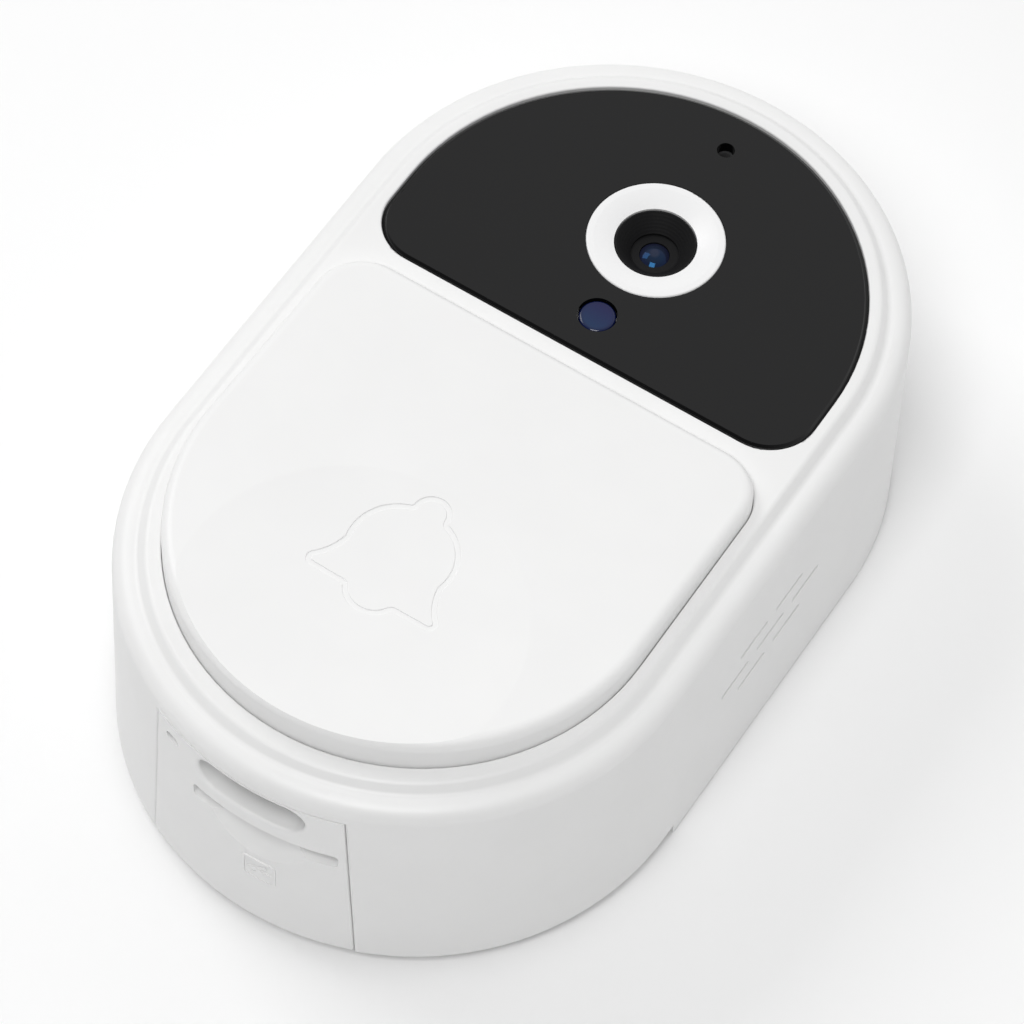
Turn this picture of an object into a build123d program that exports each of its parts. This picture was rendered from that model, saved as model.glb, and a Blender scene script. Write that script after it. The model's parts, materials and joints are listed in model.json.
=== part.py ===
"""Battery video doorbell, lying on its back, in millimetres.

The origin is the middle of the wall side. +Z points out through the front,
+Y points up the wall, to the camera end, and +X is to the right when facing it.
The end hatch with the charging port is at -Y, and the speaker grille is at +X.
"""
import math
import os

from build123d import *

os.makedirs("parts", exist_ok=True)

# ---------------------------------------------------------------- casing outline
BASE_R = 30.0            # half width at the wall side, and radius of both ends
RIM_R = 29.34            # half width under the front bead, after the draft
HALF_STRAIGHT = 18.3     # from the middle to the centre of each round end
BEAD_Z = 28.7            # top of the bead that runs round the front edge
FACE_Z = 29.6            # raised front face inside the bead
REAR_Z = 0.2             # rear edge of the side wall
OPEN_REAR_Z = 1.73       # rear edge round the lower end, cut shorter
OPEN_REAR_Y = -16.8      # where the shorter rear edge begins
WALL = 2.2
PLATE_UNDER_Z = 26.6     # underside of the front plate
SEAM = 0.06              # gap round the hatch
EDGE_ROUND = 0.2         # small rounding of moulded edges

# ---------------------------------------------------------------- camera window
WINDOW_R = 24.86
WINDOW_FLAT_Y = 9.22
CORNER_R = 5.3
WINDOW_BACK_Z = 28.3
WINDOW_GAP = 0.06
WINDOW_BEVEL = 0.45
TAPE_THICK = 0.2
CAMERA_Y = 25.11
SENSOR_Y = 14.1
SENSOR_R = 1.9
MIC_Y = 38.6
BEZEL_R = 7.04
BEZEL_BORE_R = 4.21
BEZEL_FLAT_R = 6.3       # inside this the ring dips towards its bore
BEZEL_DIP = 0.6
BARREL_R = 4.08
LENS_SEAT_Z = 27.0       # flat ring round the front lens, deep in the barrel
LENS_SEAT_R = 2.45
LENS_R = 1.5

# ---------------------------------------------------------------- bell button
OPENING_R = 24.86
BUTTON_CENTRE_Y = -17.8  # centre of the button's round end
OPENING_FLAT_Y = 6.75
BUTTON_HIGH_Z = 33.5     # top of the cap at its round end
BUTTON_LOW_Z = 31.35     # top of the cap at its straight edge
BUTTON_UNDER_Z = 28.1    # lower edge of the cap's skirt
PAN_Z = 27.0             # floor of the recess that the cap sits in
PAN_UNDER_Z = 25.6
BUTTON_GAP = 0.06
BUTTON_ROUND = 1.1       # rounding of the cap's top edge
DISH_Y = -22.0           # finger dish in the cap
DISH_R, DISH_DEPTH = 14.5, 0.55
DISH_RIM_Z = 32.55
SWITCH_Y = -19.0
LEG_PLACES = [(21.0, -4.0), (15.0, -34.0)]

# ---------------------------------------------------------------- inside
COVER_Z = (1.7, 3.2)     # rear cover, back and front
BOARD_Z = (23.2, 24.2)   # main board, back and front
BOARD_R = 24.6
BOARD_LOW_Y = -37.3
BOSS_X, BOSS_Y = 20.0, 30.0
POST_X, POST_Y = 17.0, 12.0
BAY_IN_X = 10.8          # inside half width of the battery bay
BAY_WALL = 1.2
BAY_Y = (-41.0, 9.2)     # mouth and inner end
BAY_ROOF_Z = 22.3
CAMERA_BOARD_Z = (13.0, 14.0)

# ---------------------------------------------------------------- battery drawer
HATCH_X = -0.75          # middle of the hatch
HATCH_TOP_HALF = 10.8    # half width of its opening under the bead
HATCH_TAPER = 0.051      # widening on each side, per mm towards the wall
HATCH_TOP_Z = 26.05
HATCH_LOW_Z = 2.0
SKIN_R = 27.75           # inside radius of the hatch's skin
DRAWER_BOTTOM_Z = 3.5
TRAY_X = 10.5
CELL_R = 9.15            # 18500 lithium-ion cell
CELL_LENGTH = 49.0
CELL_Y = -42.0           # cell end nearest to the hatch
CELL_Z = 12.8
RECESS_X, RECESS_Z = 0.2, 23.5
RECESS_WIDTH, RECESS_HEIGHT = 12.04, 4.1
RECESS_FLOOR_Y = -44.6
PORT_Z = 23.6
PORT_Y = (-44.8, -37.8)
PIN_X = 4.0
RESET_X = -9.0
SLIT_X, SLIT_Z = 1.6, 18.6
SLIT_SIZE = (16.0, 1.9)
SCOOP_R, SCOOP_Z = 9.6, 21.1
SCOOP_OUT_Y = -54.63     # centre of the ball that scoops out the finger grip

# ---------------------------------------------------------------- speaker
SPEAKER_Y, SPEAKER_Z = 0.4, 15.1
SPEAKER_R = 7.5
GRILLE_LENGTH, GRILLE_HEIGHT = 5.0, 0.42
GRILLE_PITCH, GRILLE_ROW = 6.7, 2.9
GRILLE_COUNTS = {1: 2, 0: 3, -1: 2}   # slits in each row, from the front

# ---------------------------------------------------------------- wall bracket
BRACKET_R = 27.2
BRACKET_THICK = 1.4
BRACKET_TRAVEL = 8.0
HOOK_X = 16.2
HOOK_YS = (22.0, -14.0)
SCREW_Y = 30.0           # wall screw holes at +30 and -30
SCREW_HOLE_R = 2.1
PAD_THICK = 0.6


# ================================================================ helpers
def wall_radius(z):
    """Outside radius of the drafted side wall at height z."""
    return BASE_R + (RIM_R - BASE_R) * z / BEAD_Z


def stadium(radius):
    return SlotCenterToCenter(2 * HALF_STRAIGHT, 2 * radius, rotation=90)


def stadium_slab(radius, z0, z1):
    return extrude(Pos(0, 0, z0) * stadium(radius), z1 - z0)


def block(x0, x1, y0, y1, z0, z1):
    centre = Pos((x0 + x1) / 2, (y0 + y1) / 2, (z0 + z1) / 2)
    return centre * Box(x1 - x0, y1 - y0, z1 - z0)


def block_pair(x0, x1, y0, y1, z0, z1):
    """Two equal blocks, at +X and at -X."""
    right = block(x0, x1, y0, y1, z0, z1)
    return right + mirror(right, Plane.YZ)


def rod_z(x, y, radius, z0, z1):
    return Pos(x, y, (z0 + z1) / 2) * Cylinder(radius, z1 - z0)


def rod_x(y, z, radius, x0, x1):
    return Pos((x0 + x1) / 2, y, z) * Rot(0, 90, 0) * Cylinder(radius, x1 - x0)


def rod_y(x, z, radius, y0, y1):
    return Pos(x, (y0 + y1) / 2, z) * Rot(90, 0, 0) * Cylinder(radius, y1 - y0)


def tube_z(x, y, outer, inner, z0, z1):
    return rod_z(x, y, outer, z0, z1) - rod_z(x, y, inner, z0 - 1, z1 + 1)


def cone_z(x, y, radius0, radius1, z0, z1):
    return Pos(x, y, (z0 + z1) / 2) * Cone(radius0, radius1, z1 - z0)


def ball(x, y, z, radius):
    """Sphere with its poles on the Y axis, away from the faces it cuts."""
    return Pos(x, y, z) * Rot(90, 0, 0) * Sphere(radius)


def d_outline(radius, centre_y, flat_y, corner):
    """Round end about (0, centre_y), straight edge at flat_y with round corners."""
    side = 1 if centre_y > flat_y else -1
    shape = Pos(0, centre_y) * Circle(radius)
    shape += Pos(0, (centre_y + flat_y) / 2) * Rectangle(2 * radius, abs(centre_y - flat_y))
    shape -= Pos(0, flat_y - side * radius) * Rectangle(3 * radius, 2 * radius)
    corners = [v for v in shape.vertices() if abs(v.Y - flat_y) < 0.01]
    return fillet(corners, corner)


def round_corner(section, point, radius):
    """Rounds the corner of a flat section at the given point."""
    near = [v for v in section.vertices() if abs(v.X - point[0]) + abs(v.Y - point[1]) < 0.01]
    return fillet(near, radius)


def window_outline(inset=0.0):
    return d_outline(WINDOW_R - inset, HALF_STRAIGHT, WINDOW_FLAT_Y + inset, CORNER_R - inset)


def button_outline(inset=0.0):
    return d_outline(OPENING_R - inset, BUTTON_CENTRE_Y, OPENING_FLAT_Y - inset, CORNER_R - inset)


def slab(outline, z0, z1):
    return extrude(Pos(0, 0, z0) * outline, z1 - z0)


def bar_y(section, y0, y1):
    """Bar along Y whose section is drawn in X and Z."""
    return Pos(0, y1, 0) * extrude(Plane.XZ * section, y1 - y0)


def oblong_y(x, z, width, height, y0, y1):
    return bar_y(Pos(x, z) * SlotOverall(width, height), y0, y1)


def hatch_bar(inset, low_z, y0, y1):
    """Bar along Y with the hatch's outline, which widens towards the wall."""
    top_z = HATCH_TOP_Z - inset
    top = HATCH_TOP_HALF - inset
    low = top + HATCH_TAPER * (top_z - low_z)
    outline = Polyline((-top, top_z), (top, top_z), (low, low_z), (-low, low_z), close=True)
    return bar_y(Pos(HATCH_X, 0) * make_face(outline), y0, y1)


def on_outside(edge):
    """Whether an edge lies on the outside of the drafted wall."""
    middle = edge.position_at(0.5)
    past_straight = max(abs(middle.Y) - HALF_STRAIGHT, 0)
    return abs(math.hypot(middle.X, past_straight) - wall_radius(middle.Z)) < 0.03


def outside_edges(shape, low_z, high_z):
    found = [edge for edge in shape.edges() if on_outside(edge)]
    return [edge for edge in found if low_z < edge.position_at(0.5).Z < high_z]


def corners(x, y):
    return [(sx * x, sy * y) for sx in (1, -1) for sy in (1, -1)]


def save(name, *shapes):
    solids = [solid for shape in shapes for solid in shape.solids()]
    export_step(solids[0] if len(solids) == 1 else Compound(children=solids), f"parts/{name}.step")


# ================================================================ casing
def casing_profile():
    """Half section of the solid casing: wall, bead, step and front face."""
    points = [
        (0, REAR_Z),
        (wall_radius(REAR_Z), REAR_Z),
        (wall_radius(BEAD_Z), BEAD_Z),
        (26.95, BEAD_Z),
        (26.05, FACE_Z),
        (0, FACE_Z),
    ]
    section = make_face(Polyline(*points, close=True))
    for point, radius in zip(points[2:5], (1.8, 0.7, 0.7)):
        section = round_corner(section, point, radius)
    return Plane.XZ * section


def swept_round(section):
    """Carries a half section round both ends and along both sides."""
    upper = Pos(0, HALF_STRAIGHT, 0) * revolve(section, Axis.Z, 180)
    side = Pos(0, HALF_STRAIGHT, 0) * extrude(section, 2 * HALF_STRAIGHT)
    return upper + Rot(0, 0, 180) * upper + side + mirror(side, Plane.YZ)


def grille_slits():
    slits = []
    for row, count in GRILLE_COUNTS.items():
        for k in range(count):
            y = SPEAKER_Y + (k - (count - 1) / 2) * GRILLE_PITCH
            place = Plane.YZ * Pos(y, SPEAKER_Z + row * GRILLE_ROW)
            slits.append(Pos(25, 0, 0) * extrude(place * SlotOverall(GRILLE_LENGTH, GRILLE_HEIGHT), 7))
    return slits


def front_shell():
    shell = swept_round(casing_profile())
    inner = loft([
        Pos(0, 0, -1) * stadium(wall_radius(-1) - WALL),
        Pos(0, 0, PLATE_UNDER_Z) * stadium(wall_radius(PLATE_UNDER_Z) - WALL),
    ])
    shell -= inner
    shell += stadium_slab(wall_radius(4.7) - WALL + 0.3, 3.9, 5.4) - stadium_slab(26.3, 3, 6)
    shell += slab(button_outline(-1.4), PAN_UNDER_Z, PLATE_UNDER_Z + 0.1)
    for x, y in corners(BOSS_X, BOSS_Y):
        shell += tube_z(x, y, 2.6, 1.0, COVER_Z[1], PLATE_UNDER_Z)
    for x, y in corners(POST_X, POST_Y):
        shell += tube_z(x, y, 2.2, 0.95, BOARD_Z[1], PLATE_UNDER_Z)
    for x in (-9.4, 9.4):
        shell += tube_z(x, CAMERA_Y, 1.8, 0.85, CAMERA_BOARD_Z[1], PLATE_UNDER_Z)
    shell -= slab(window_outline(-WINDOW_GAP), WINDOW_BACK_Z - TAPE_THICK, 40)
    shell -= rod_z(0, CAMERA_Y, 6.6, 20, 40)
    shell -= rod_z(0, SENSOR_Y, 1.85, 20, 40)
    shell -= rod_z(0, MIC_Y, 2.35, 20, 40)
    for x, y in led_places():
        shell -= rod_z(x, y, 2.0, 25, 40)
    shell -= slab(button_outline(), PAN_Z, 40)
    level_faces = shell.faces().filter_by_position(Axis.Z, FACE_Z - 0.01, FACE_Z + 0.01)
    plate = max(level_faces, key=lambda face: face.area)
    shell = fillet([edge for wire in plate.inner_wires() for edge in wire.edges()], EDGE_ROUND)
    shell -= block(-3.7, 3.7, SWITCH_Y - 3.7, SWITCH_Y + 3.7, 25, 28)
    for x, y in LEG_PLACES:
        shell -= block_pair(x - 0.9, x + 0.8, y - 2.4, y + 2.4, 25, 28)
    for slit in grille_slits():
        shell -= slit
    reach = SPEAKER_Z + 2 * GRILLE_ROW
    shell = chamfer(outside_edges(shell, 2 * SPEAKER_Z - reach, reach), GRILLE_HEIGHT / 4)
    shell -= block(-40, 40, -60, OPEN_REAR_Y, -1, OPEN_REAR_Z)
    shell -= hatch_bar(0, -1, -60, -38) - block(-40, 40, -43, -37, PAN_UNDER_Z, 40)
    return fillet(outside_edges(shell, 2 * OPEN_REAR_Z, HATCH_TOP_Z + 0.1), EDGE_ROUND)


def keyhole(x, y):
    """Slot for one bracket hook: narrow where it locks, wide where it lets go."""
    narrow = block(x - 1.6, x + 1.6, y - BRACKET_TRAVEL - 1, y + 1.1, 0, 3.3)
    wide = block(x - 2.5, x + 2.5, y - BRACKET_TRAVEL - 1.6, y - BRACKET_TRAVEL + 1.6, 0, 3.3)
    return narrow + wide


def rear_cover():
    cover = stadium_slab(27.4, *COVER_Z)
    for x in (HOOK_X, -HOOK_X):
        for y in HOOK_YS:
            y0, y1 = y - BRACKET_TRAVEL - 2.4, y + 2.0
            cover += block(x - 3.3, x + 3.3, y0, y1, COVER_Z[1], 5.3)
            cover -= block(x - 2.5, x + 2.5, y0 + 0.8, y1 - 0.8, COVER_Z[1], 4.6)
            cover -= keyhole(x, y)
    for x, y in corners(BOSS_X, BOSS_Y):
        cover -= rod_z(x, y, 1.15, 0, 4)
        cover -= cone_z(x, y, 2.1, 1.15, COVER_Z[0], COVER_Z[0] + 0.95)
    return cover


def rear_gasket():
    ring = stadium_slab(27.3, 3.2, 3.9) - stadium_slab(26.35, 3, 4)
    return ring - block(HATCH_X - 12.5, HATCH_X + 12.5, -60, -38, 3, 4)


def case_screws():
    screws = []
    for x, y in corners(BOSS_X, BOSS_Y):
        screw = rod_z(x, y, 0.95, 2.5, 11) + cone_z(x, y, 2.05, 0.95, 1.75, 2.85)
        slot = block(x - 1.2, x + 1.2, y - 0.25, y + 0.25, 1, 2.3)
        cross = block(x - 0.25, x + 0.25, y - 1.2, y + 1.2, 1, 2.3)
        screws.append(screw - slot - cross)
    return screws


# ================================================================ camera and window
def led_places():
    return [(side * 14.5, y) for side in (1, -1) for y in (20.5, 30.0)]


def lens_window():
    window = slab(window_outline(), WINDOW_BACK_Z, FACE_Z)
    window = chamfer(window.faces().sort_by(Axis.Z)[-1].edges(), WINDOW_BEVEL)
    window -= rod_z(0, CAMERA_Y, BEZEL_R + WINDOW_GAP, 20, 40)
    window -= rod_z(0, SENSOR_Y, SENSOR_R + 0.13, 20, 40)
    window -= rod_z(0, MIC_Y, 0.92, 20, 40)
    return window


def window_tape():
    tape = slab(window_outline(0.5), WINDOW_BACK_Z - TAPE_THICK, WINDOW_BACK_Z)
    return tape - slab(window_outline(2.6), 20, 40)


def lens_bezel():
    """White ring round the lens, dipping towards its bore, with a spigot behind."""
    top = FACE_Z + 0.1
    points = [
        (BEZEL_BORE_R, top - BEZEL_DIP),
        (BEZEL_BORE_R, 25.6),
        (6.5, 25.6),
        (6.5, WINDOW_BACK_Z),
        (BEZEL_R, WINDOW_BACK_Z),
        (BEZEL_R, top),
        (BEZEL_FLAT_R, top),
    ]
    middle_r = (BEZEL_BORE_R + BEZEL_FLAT_R) / 2
    dip = ThreePointArc(points[6], (middle_r, top - 0.4 * BEZEL_DIP), points[0])
    section = make_face([*Polyline(*points).edges(), dip])
    section = round_corner(section, points[5], EDGE_ROUND)
    return Pos(0, CAMERA_Y, 0) * revolve(Plane.XZ * section, Axis.Z, 360)


def lens_barrel():
    """Black barrel: a conical hood, a flat ring round the front lens, and an iris."""
    hood_top = FACE_Z - BEZEL_DIP
    barrel = rod_z(0, CAMERA_Y, BARREL_R, 16.4, hood_top)
    barrel -= cone_z(0, CAMERA_Y, LENS_SEAT_R, BARREL_R - 0.12, LENS_SEAT_Z + 0.3, hood_top + 0.01)
    barrel -= rod_z(0, CAMERA_Y, LENS_SEAT_R, LENS_SEAT_Z, LENS_SEAT_Z + 0.31)
    barrel -= rod_z(0, CAMERA_Y, LENS_R + 0.05, 25.3, LENS_SEAT_Z + 0.1)
    barrel -= rod_z(0, CAMERA_Y, 0.75, 24.5, 25.4)
    return barrel - rod_z(0, CAMERA_Y, 1.25, 16, 24.7)


def dome_element(radius, ball_radius, z0, z1):
    """Glass element with its domed side towards the front."""
    return Pos(0, CAMERA_Y, z1 - ball_radius) * Sphere(ball_radius) & rod_z(0, CAMERA_Y, radius, z0, z1 + 1)


def lens_glass():
    """Front element in its seat, and two more behind the iris."""
    front = dome_element(LENS_R, 2.5, 25.35, LENS_SEAT_Z + 0.35)
    middle = dome_element(1.2, 1.8, 22.6, 24.4)
    return [front, middle, rod_z(0, CAMERA_Y, 1.2, 18.0, 20.0)]


def lens_holder():
    holder = block(-6, 6, CAMERA_Y - 6, CAMERA_Y + 6, CAMERA_BOARD_Z[1], 20.5)
    holder -= block(-4.8, 4.8, CAMERA_Y - 4.8, CAMERA_Y + 4.8, 13, 16.0)
    return holder - rod_z(0, CAMERA_Y, 4.14, 15, 22)


def image_sensor():
    return block(-3.6, 3.6, CAMERA_Y - 3.6, CAMERA_Y + 3.6, CAMERA_BOARD_Z[1], 15.0)


def camera_board():
    board = block(-12, 12, CAMERA_Y - 6.6, CAMERA_Y + 6.6, *CAMERA_BOARD_Z)
    for x in (-9.4, 9.4):
        board -= rod_z(x, CAMERA_Y, 1.1, 12, 15)
    return board


def pan_screw(x, y, shank, head, z_head, z_face, z_tip):
    """Pan-head screw, driven towards +Z, with a cross recess."""
    screw = rod_z(x, y, head, z_head, z_face) + rod_z(x, y, shank, z_face, z_tip)
    for dx, dy in ((0.7, 0.18), (0.18, 0.7)):
        screw -= block(x - dx * head, x + dx * head, y - dy * head, y + dy * head, z_head - 1, z_head + 0.5)
    return screw


def camera_screws():
    z = CAMERA_BOARD_Z[0]
    return [pan_screw(x, CAMERA_Y, 0.8, 1.7, z - 1.0, z, 18) for x in (-9.4, 9.4)]


def camera_flex():
    """Flat flexible cable from the camera board up to the main board."""
    y0 = CAMERA_Y + 6.6
    z0, z1 = CAMERA_BOARD_Z[0], BOARD_Z[0]
    near, far = y0 + 2.15, y0 + 2.4
    points = [
        (y0 - 2, z0 - 0.25),
        (far, z0 - 0.25),
        (far, z1 - 0.25),
        (y0 + 6, z1 - 0.25),
        (y0 + 6, z1),
        (near, z1),
        (near, z0),
        (y0 - 2, z0),
    ]
    section = make_face(Polyline(*points, close=True))
    return Pos(-4, 0, 0) * extrude(Plane.YZ * section, 8)


def sensor_lens():
    lens = rod_z(0, SENSOR_Y, SENSOR_R, WINDOW_BACK_Z, FACE_Z - 0.2)
    lens = fillet(lens.faces().sort_by(Axis.Z)[-1].edges(), 0.3)
    return lens + rod_z(0, SENSOR_Y, SENSOR_R - 0.15, 25.4, WINDOW_BACK_Z)


# ================================================================ boards
def main_board():
    board = stadium_slab(BOARD_R, *BOARD_Z)
    board -= block(-40, 40, -60, BOARD_LOW_Y, 20, 30)
    board -= block(-12.5, 12.5, CAMERA_Y - 8, CAMERA_Y + 8, 20, 30)
    for x, y in corners(BOSS_X, BOSS_Y):
        board -= rod_z(x, y, 3.0, 20, 30)
    for x, y in corners(POST_X, POST_Y):
        board -= rod_z(x, y, 1.15, 20, 30)
    return board


def board_screws():
    z = BOARD_Z[0]
    return [pan_screw(x, y, 0.9, 1.9, z - 1.1, z, 25.4) for x, y in corners(POST_X, POST_Y)]


def board_chips():
    """Chips, coils and capacitors under the main board, beside the battery bay."""
    z = BOARD_Z[0]
    chips = [block(-22.5, -14.5, -6, 2, z - 1.2, z), block(-20.5, -15.5, -24, -18, z - 1.0, z)]
    chips += [block(14.5, 19.5, -24, -19, z - 2.0, z), block(-4, 4, 38.5, 41.5, z - 1.0, z)]
    chips += [rod_z(-12 + 5 * k, 38, 2.0, z - 5.5, z) for k in range(2)]
    chips += [block(8.0 + 2.2 * k, 9.6 + 2.2 * k, 34.0, 36.8, z - 0.9, z) for k in range(3)]
    chips += [block(-22.0 + 3.2 * k, -20.0 + 3.2 * k, 15.2, 18.4, z - 0.8, z) for k in range(3)]
    return chips


def wifi_shield():
    can = block(-23.0, -13.5, 4.5, 9.5, BOARD_Z[0] - 2.2, BOARD_Z[0])
    return can - block(-22.8, -13.7, 4.7, 9.3, BOARD_Z[0] - 2.0, BOARD_Z[0])


def ir_leds():
    leds = []
    for x, y in led_places():
        dome = Pos(x, y, 25.6) * Sphere(1.5) & rod_z(x, y, 1.5, 25.6, 28)
        leds.append(rod_z(x, y, 1.7, BOARD_Z[1], 24.8) + rod_z(x, y, 1.5, 24.8, 25.6) + dome)
    return leds


def antenna():
    return block(-27.35, -27.1, -12, 12, 8, 16)


# ================================================================ button
def tilted_top(drop):
    """Plane of the button's top, lowered by drop."""
    length = OPENING_FLAT_Y - BUTTON_CENTRE_Y + OPENING_R
    slope = (BUTTON_HIGH_Z - BUTTON_LOW_Z) / length
    return Plane(origin=(0, OPENING_FLAT_Y, BUTTON_LOW_Z - drop), z_dir=(0, slope, 1))


def bell_outline():
    """Plain bell with its clapper, symmetrical about x = 0."""
    foot_y, clapper_y, shoulder, neck = -26.9, -28.6, (5.25, -22.4), (1.7, -16.3)
    flare = ThreePointArc((8.2, foot_y), (6.2, -24.95), shoulder)
    dome = ThreePointArc(shoulder, (4.55, -18.3), neck)
    knob = ThreePointArc(neck, (0, -14.25), (-neck[0], neck[1]))
    clapper = ThreePointArc((-2.6, foot_y), (0, clapper_y), (2.6, foot_y))
    feet = [Line((2.6, foot_y), (8.2, foot_y)), Line((-8.2, foot_y), (-2.6, foot_y))]
    left = [mirror(edge, Plane.YZ) for edge in (flare, dome)]
    outline = make_face([flare, dome, knob, clapper, *feet, *left])
    return fillet([v for v in outline.vertices() if abs(v.X) > 1 and v.Y != shoulder[1]], 0.6)


def bell_groove():
    """Band along the bell's outline, down to just under the dish's floor."""
    width, depth = 0.5, 0.11
    band = offset(bell_outline(), width / 2) - offset(bell_outline(), -width / 2)
    return slab(band, 30, 36) & ball(0, DISH_Y, dish_centre_z(), dish_ball_r() + depth)


def dish_ball_r():
    return (DISH_R**2 + DISH_DEPTH**2) / (2 * DISH_DEPTH)


def dish_centre_z():
    return DISH_RIM_Z - DISH_DEPTH + dish_ball_r()


def button_cap():
    blank = slab(button_outline(BUTTON_GAP), BUTTON_UNDER_Z, 40)
    body = split(blank, tilted_top(0), keep=Keep.BOTTOM)
    body = fillet(body.faces().sort_by(Axis.Z)[-1].edges(), BUTTON_ROUND)
    hollow = slab(button_outline(BUTTON_GAP + 1.8), BUTTON_UNDER_Z - 1, 40)
    body -= split(hollow, tilted_top(1.9), keep=Keep.BOTTOM)
    body += rod_z(0, SWITCH_Y, 3.2, 27.9, 31.0)
    for angle in (45, 135):
        body += Pos(0, SWITCH_Y, 29.9) * Rot(0, 0, angle) * Box(26, 1.0, 2.4)
    for x, y in LEG_PLACES:
        body += block_pair(x - 0.6, x + 0.6, y - 2, y + 2, 25.1, 30.5)
        body += block_pair(x, x + 1.3, y - 2, y + 2, 25.1, 25.5)
    body -= ball(0, DISH_Y, dish_centre_z(), dish_ball_r())
    body -= bell_groove()
    return fillet(groove_rims(body), 0.09)


def groove_rims(body):
    """Upper edges of the bell groove, which lie on the dish."""
    centre = Vector(0, DISH_Y, dish_centre_z())
    rims = []
    for edge in body.edges():
        middle = edge.position_at(0.5)
        on_dish = abs((middle - centre).length - dish_ball_r()) < 0.01
        if on_dish and math.hypot(middle.X, middle.Y - DISH_Y) < 10:
            rims.append(edge)
    return rims


def button_seal():
    """Silicone dome over the switch, which also seals the opening."""
    under = [(0, 27.45), (2.4, 27.45), (5.4, PAN_Z), (8.2, PAN_Z)]
    over = [(8.2, 27.35), (5.7, 27.35), (2.9, 27.85), (0, 27.85)]
    section = make_face(Polyline(*under, *over, close=True))
    return Pos(0, SWITCH_Y, 0) * revolve(Plane.XZ * section, Axis.Z, 360)


def tact_switch():
    body = block(-3.1, 3.1, SWITCH_Y - 3.1, SWITCH_Y + 3.1, BOARD_Z[1], 26.6)
    return body - rod_z(0, SWITCH_Y, 1.3, 25.4, 27)


def tact_plunger():
    return rod_z(0, SWITCH_Y, 1.2, 26.0, 27.4)


# ================================================================ battery bay
def battery_bay():
    """Guide channel for the battery drawer, closed at its inner end."""
    outer = BAY_IN_X + BAY_WALL
    top = BAY_ROOF_Z + 0.6
    bay = block(-outer, outer, BAY_Y[0], BAY_Y[1] + BAY_WALL, COVER_Z[1] + 0.05, top)
    bay -= block(-BAY_IN_X, BAY_IN_X, -60, BAY_Y[1], 0, BAY_ROOF_Z)
    bay -= block(-BAY_IN_X, BAY_IN_X, -60, -36.6, 0, 30)
    for x in (-PIN_X, PIN_X):
        bay -= rod_y(x, CELL_Z, 0.95, 8, 12)
    return bay


def bay_pins():
    pins = []
    for x in (-PIN_X, PIN_X):
        pin = rod_y(x, CELL_Z, 0.9, 9.0, 11.4) + rod_y(x, CELL_Z, 0.5, 8.55, 9.0)
        pins.append(pin)
    return pins


def pin_board():
    return block(-9, 9, 11.4, 12.4, 8, 17.5)


def hatch_skin():
    """Curved outside of the hatch, with the backing for its recess and its finger grip."""
    skin = swept_round(casing_profile()) - stadium_slab(SKIN_R, -5, 40)
    skin &= hatch_bar(SEAM, HATCH_LOW_Z, -60, -40)
    side_edges = outside_edges(skin, HATCH_LOW_Z + 1, HATCH_TOP_Z - 1)
    skin = fillet(side_edges, EDGE_ROUND)
    cup_half = RECESS_WIDTH / 2 + 0.8
    cup_z = (RECESS_Z - RECESS_HEIGHT / 2 - 0.8, HATCH_TOP_Z - 0.5)
    cup = block(RECESS_X - cup_half, RECESS_X + cup_half, -46.5, RECESS_FLOOR_Y + 0.8, *cup_z)
    grip = block(SLIT_X - 8.5, SLIT_X + 8.5, -46.6, -43.3, 13.2, cup_z[0])
    return skin + ((cup + grip) & stadium_slab(SKIN_R + 0.05, 0, 30))


def recess():
    """Oblong pocket round the charging port, just under the bead."""
    return oblong_y(RECESS_X, RECESS_Z, RECESS_WIDTH, RECESS_HEIGHT, -60, RECESS_FLOOR_Y)


def finger_grip():
    """Long slit with a scoop below its middle."""
    slit_top = SLIT_Z + SLIT_SIZE[1] / 2
    opening = Pos(SLIT_X, SLIT_Z) * RectangleRounded(*SLIT_SIZE, 0.5)
    slit = bar_y(opening, -60, -40) - stadium_slab(SKIN_R - 0.35, 0, 30)
    scoop = ball(SLIT_X, SCOOP_OUT_Y, SCOOP_Z, SCOOP_R) & block(-15, 15, -60, -40, 10, slit_top)
    return slit + scoop


def battery_drawer():
    """Hatch in the end wall, in one piece with the tray that carries the cell."""
    face = hatch_skin() - recess()
    lip_edges = outside_edges(face, RECESS_Z - RECESS_HEIGHT, HATCH_TOP_Z - 0.5)
    face = fillet(lip_edges, 0.35)
    face -= finger_grip() + oblong_y(-9.3, 23.8, 1.8, 1.0, -60, -40)
    face -= oblong_y(0, PORT_Z, 9.3, 3.5, -60, -40)
    tray = block(-TRAY_X, TRAY_X, -46.5, 8.2, DRAWER_BOTTOM_Z, 13.0) & stadium_slab(SKIN_R + 0.05, 0, 30)
    tray -= block(-9.75, 9.75, -42.6, 7.4, 0, 30)
    tray -= block(-9.2, 9.2, -60, -43.4, 0, 30)
    tray += block(-10.0, 10.0, -43.4, -42.6, DRAWER_BOTTOM_Z, 21.5)
    tray += block(-10.0, 10.0, 7.4, 8.2, DRAWER_BOTTOM_Z, 21.5)
    for y in (-40.0, -18.0, 4.0):
        tray += block(-10, 10, y - 1, y + 1, DRAWER_BOTTOM_Z, 13) - rod_y(0, CELL_Z, CELL_R + 0.1, -60, 20)
    tray += block_pair(7.2, 10.0, -42.6, -39.0, 20.7, 22.1)
    return face + tray + hatch_icon()


def hatch_icon():
    """Small raised charge symbol: a rounded frame with a zigzag."""
    frame = RectangleRounded(3.8, 3.9, 0.6) - RectangleRounded(3.1, 3.2, 0.35)
    zigzag = trace(Polyline((0.9, 0.9), (-0.7, 0.1), (0.7, -0.1), (-0.9, -0.9)), 0.4)
    mark = bar_y(Pos(1.55, 11.5) * (frame + zigzag), -49, -47.4)
    return mark & stadium_slab(wall_radius(11.5) + 0.13, 0, 30)


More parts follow.
